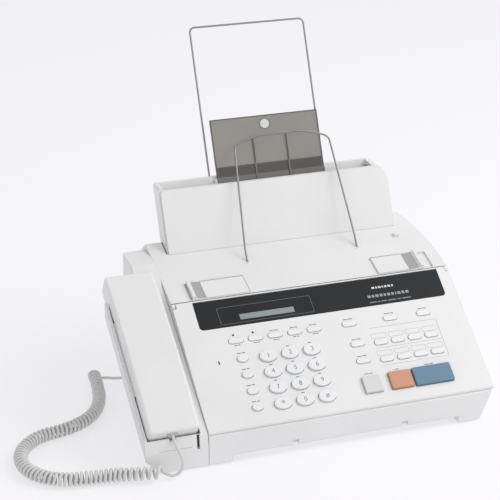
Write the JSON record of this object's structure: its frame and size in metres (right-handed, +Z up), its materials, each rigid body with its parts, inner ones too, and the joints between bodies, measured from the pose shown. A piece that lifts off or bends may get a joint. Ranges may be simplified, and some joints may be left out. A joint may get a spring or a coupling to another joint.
{
  "type": "fax machine",
  "caption": "Desktop fax machine with a side handset on a curly cord, sloping key panel, hinged top cover and rear paper hopper.",
  "frame": {"origin": "under the middle of the machine's bounding box, measured without the cord, on the table", "axes": "+X along the width, away from the handset, +Y from the front to the back, +Z up"},
  "size_m": [0.4547, 0.3125, 0.3307],
  "materials": {
    "body_plastic": "fine satin texture",
    "key_plastic": "satin",
    "grey_key": "satin",
    "orange_key": "satin",
    "blue_key": "satin",
    "dark_strip": "gloss",
    "lcd_glass": "gloss",
    "smoked_plastic": "gloss",
    "steel_wire": "polished",
    "cord_plastic": "soft gloss",
    "clear_plug": "gloss",
    "rubber": "matte",
    "screw_steel": "plated",
    "circuit_board": "lacquered",
    "inner_plastic": "matte",
    "brass": "machined"
  },
  "bodies": {
    "chassis": {"lower_case": "body_plastic", "rubber_feet": "rubber", "case_screws": "screw_steel", "handset_cradle": "body_plastic", "roller_frame": "screw_steel", "print_head": "inner_plastic", "ribbon_cartridge": "inner_plastic", "main_board": "circuit_board", "power_supply": "circuit_board", "drive_motor": "screw_steel", "rear_connectors": "inner_plastic", "cradle_plug": "clear_plug", "speaker": "inner_plastic", "cord_front_lead": "cord_plastic", "curly_cord": "cord_plastic", "cord_rear_lead": "cord_plastic"},
    "panel": {"control_panel": "body_plastic", "display_window": "dark_strip", "lcd_panel": "lcd_glass", "panel_board": "circuit_board"},
    "cover": {"top_cover": "body_plastic", "paper_hopper": "body_plastic", "hopper_cover": "body_plastic"},
    "guide_left": {"document_guide_left": "body_plastic"},
    "guide_right": {"document_guide_right": "body_plastic"},
    "paper_rest": {"paper_rest": "smoked_plastic"},
    "paper_wire": {"paper_wire": "steel_wire"},
    "document_wire": {"document_wire": "steel_wire"},
    "handset": {"handset_upper_shell": "body_plastic", "handset_lower_shell": "body_plastic", "handset_plug": "clear_plug"},
    "hook_switch": {"hook_switch": "inner_plastic"},
    "platen": {"platen_roller": "rubber", "platen_gear": "inner_plastic"},
    "feed": {"feed_roller": "rubber", "feed_gear": "inner_plastic"},
    "pinion": {"motor_pinion": "brass"},
    "key_1": {"key_1": "key_plastic"},
    "key_2": {"key_2": "key_plastic"},
    "key_3": {"key_3": "key_plastic"},
    "key_4": {"key_4": "key_plastic"},
    "key_5": {"key_5": "key_plastic"},
    "key_6": {"key_6": "key_plastic"},
    "key_7": {"key_7": "key_plastic"},
    "key_8": {"key_8": "key_plastic"},
    "key_9": {"key_9": "key_plastic"},
    "key_star": {"key_star": "key_plastic"},
    "key_0": {"key_0": "key_plastic"},
    "key_hash": {"key_hash": "key_plastic"},
    "function_key_1": {"function_key_1": "key_plastic"},
    "function_key_2": {"function_key_2": "key_plastic"},
    "function_key_3": {"function_key_3": "key_plastic"},
    "function_key_4": {"function_key_4": "key_plastic"},
    "mode_key_1": {"mode_key_1": "key_plastic"},
    "mode_key_2": {"mode_key_2": "key_plastic"},
    "row_keys": {"row_keys": "key_plastic"},
    "one_touch_keys": {"one_touch_keys": "key_plastic"},
    "copy_key": {"copy_key": "grey_key"},
    "stop_key": {"stop_key": "orange_key"},
    "start_key": {"start_key": "blue_key"}
  },
  "joints": [
    {"name": "panel_hinge", "type": "hinge", "parent": "chassis", "child": "panel", "pos_m": [0.03, -0.03352, 0.11022], "axis": [-1, 0, 0], "range_deg": [0, 40]},
    {"name": "cover_hinge", "type": "hinge", "parent": "chassis", "child": "cover", "pos_m": [0.015, 0.074, 0.121], "axis": [-1, 0, 0], "range_deg": [0, 35]},
    {"name": "guide_left_slide", "type": "slide", "parent": "cover", "child": "guide_left", "axis": [1, 0, 0], "range_m": [0, 0.0285]},
    {"name": "guide_right_slide", "type": "slide", "parent": "cover", "child": "guide_right", "axis": [-1, 0, 0], "range_m": [0, 0.0285]},
    {"name": "paper_rest_slide", "type": "slide", "parent": "cover", "child": "paper_rest", "axis": [0, 0.4067, 0.9135], "range_m": [0, 0.02]},
    {"name": "paper_wire_slide", "type": "slide", "parent": "cover", "child": "paper_wire", "axis": [0, 0.4067, 0.9135], "range_m": [0, 0.02]},
    {"name": "document_wire_slide", "type": "slide", "parent": "cover", "child": "document_wire", "axis": [0, 0.5358, 0.8443], "range_m": [0, 0.008]},
    {"name": "handset_lift", "type": "slide", "parent": "chassis", "child": "handset", "axis": [0, -0.5299, 0.848], "range_m": [0, 0.06]},
    {"name": "hook_press", "type": "slide", "parent": "chassis", "child": "hook_switch", "axis": [0, 0.5299, -0.848], "range_m": [0, 0.0025], "stiffness_N_per_m": 60, "springref_m": -0.001},
    {"name": "platen_spin", "type": "hinge", "parent": "chassis", "child": "platen", "pos_m": [0.03, -0.021, 0.05], "axis": [1, 0, 0], "continuous": true},
    {"name": "pinion_spin", "type": "hinge", "parent": "chassis", "child": "pinion", "pos_m": [-0.095, -0.00262, 0.06543], "axis": [1, 0, 0], "continuous": true},
    {"name": "feed_spin", "type": "hinge", "parent": "chassis", "child": "feed", "pos_m": [0.03, -0.00678, 0.08906], "axis": [1, 0, 0], "continuous": true},
    {"name": "key_1_press", "type": "slide", "parent": "panel", "child": "key_1", "axis": [0, 0.5786, -0.8156], "range_m": [0, 0.0015], "stiffness_N_per_m": 250, "springref_m": -0.0005},
    {"name": "key_2_press", "type": "slide", "parent": "panel", "child": "key_2", "axis": [0, 0.5786, -0.8156], "range_m": [0, 0.0015], "stiffness_N_per_m": 250, "springref_m": -0.0005},
    {"name": "key_3_press", "type": "slide", "parent": "panel", "child": "key_3", "axis": [0, 0.5786, -0.8156], "range_m": [0, 0.0015], "stiffness_N_per_m": 250, "springref_m": -0.0005},
    {"name": "key_4_press", "type": "slide", "parent": "panel", "child": "key_4", "axis": [0, 0.5786, -0.8156], "range_m": [0, 0.0015], "stiffness_N_per_m": 250, "springref_m": -0.0005},
    {"name": "key_5_press", "type": "slide", "parent": "panel", "child": "key_5", "axis": [0, 0.5786, -0.8156], "range_m": [0, 0.0015], "stiffness_N_per_m": 250, "springref_m": -0.0005},
    {"name": "key_6_press", "type": "slide", "parent": "panel", "child": "key_6", "axis": [0, 0.5786, -0.8156], "range_m": [0, 0.0015], "stiffness_N_per_m": 250, "springref_m": -0.0005},
    {"name": "key_7_press", "type": "slide", "parent": "panel", "child": "key_7", "axis": [0, 0.5786, -0.8156], "range_m": [0, 0.0015], "stiffness_N_per_m": 250, "springref_m": -0.0005},
    {"name": "key_8_press", "type": "slide", "parent": "panel", "child": "key_8", "axis": [0, 0.5786, -0.8156], "range_m": [0, 0.0015], "stiffness_N_per_m": 250, "springref_m": -0.0005},
    {"name": "key_9_press", "type": "slide", "parent": "panel", "child": "key_9", "axis": [0, 0.5786, -0.8156], "range_m": [0, 0.0015], "stiffness_N_per_m": 250, "springref_m": -0.0005},
    {"name": "key_star_press", "type": "slide", "parent": "panel", "child": "key_star", "axis": [0, 0.5786, -0.8156], "range_m": [0, 0.0015], "stiffness_N_per_m": 250, "springref_m": -0.0005},
    {"name": "key_0_press", "type": "slide", "parent": "panel", "child": "key_0", "axis": [0, 0.5786, -0.8156], "range_m": [0, 0.0015], "stiffness_N_per_m": 250, "springref_m": -0.0005},
    {"name": "key_hash_press", "type": "slide", "parent": "panel", "child": "key_hash", "axis": [0, 0.5786, -0.8156], "range_m": [0, 0.0015], "stiffness_N_per_m": 250, "springref_m": -0.0005},
    {"name": "function_key_1_press", "type": "slide", "parent": "panel", "child": "function_key_1", "axis": [0, 0.5786, -0.8156], "range_m": [0, 0.0015], "stiffness_N_per_m": 250, "springref_m": -0.0005},
    {"name": "function_key_2_press", "type": "slide", "parent": "panel", "child": "function_key_2", "axis": [0, 0.5786, -0.8156], "range_m": [0, 0.0015], "stiffness_N_per_m": 250, "springref_m": -0.0005},
    {"name": "function_key_3_press", "type": "slide", "parent": "panel", "child": "function_key_3", "axis": [0, 0.5786, -0.8156], "range_m": [0, 0.0015], "stiffness_N_per_m": 250, "springref_m": -0.0005},
    {"name": "function_key_4_press", "type": "slide", "parent": "panel", "child": "function_key_4", "axis": [0, 0.5786, -0.8156], "range_m": [0, 0.0015], "stiffness_N_per_m": 250, "springref_m": -0.0005},
    {"name": "mode_key_1_press", "type": "slide", "parent": "panel", "child": "mode_key_1", "axis": [0, 0.5786, -0.8156], "range_m": [0, 0.0015], "stiffness_N_per_m": 250, "springref_m": -0.0005},
    {"name": "mode_key_2_press", "type": "slide", "parent": "panel", "child": "mode_key_2", "axis": [0, 0.5786, -0.8156], "range_m": [0, 0.0015], "stiffness_N_per_m": 250, "springref_m": -0.0005},
    {"name": "row_keys_press", "type": "slide", "parent": "panel", "child": "row_keys", "axis": [0, 0.5786, -0.8156], "range_m": [0, 0.0015], "stiffness_N_per_m": 250, "springref_m": -0.0005},
    {"name": "one_touch_keys_press", "type": "slide", "parent": "panel", "child": "one_touch_keys", "axis": [0, 0.5786, -0.8156], "range_m": [0, 0.0015], "stiffness_N_per_m": 250, "springref_m": -0.0005},
    {"name": "copy_key_press", "type": "slide", "parent": "panel", "child": "copy_key", "axis": [0, 0.5786, -0.8156], "range_m": [0, 0.0015], "stiffness_N_per_m": 250, "springref_m": -0.0005},
    {"name": "stop_key_press", "type": "slide", "parent": "panel", "child": "stop_key", "axis": [0, 0.5786, -0.8156], "range_m": [0, 0.0015], "stiffness_N_per_m": 250, "springref_m": -0.0005},
    {"name": "start_key_press", "type": "slide", "parent": "panel", "child": "start_key", "axis": [0, 0.5786, -0.8156], "range_m": [0, 0.0015], "stiffness_N_per_m": 250, "springref_m": -0.0005}
  ],
  "couplings": [
    {"joint": "guide_right_slide", "follows": "guide_left_slide", "ratio": 1},
    {"joint": "pinion_spin", "follows": "platen_spin", "ratio": -3},
    {"joint": "feed_spin", "follows": "platen_spin", "ratio": 1}
  ]
}
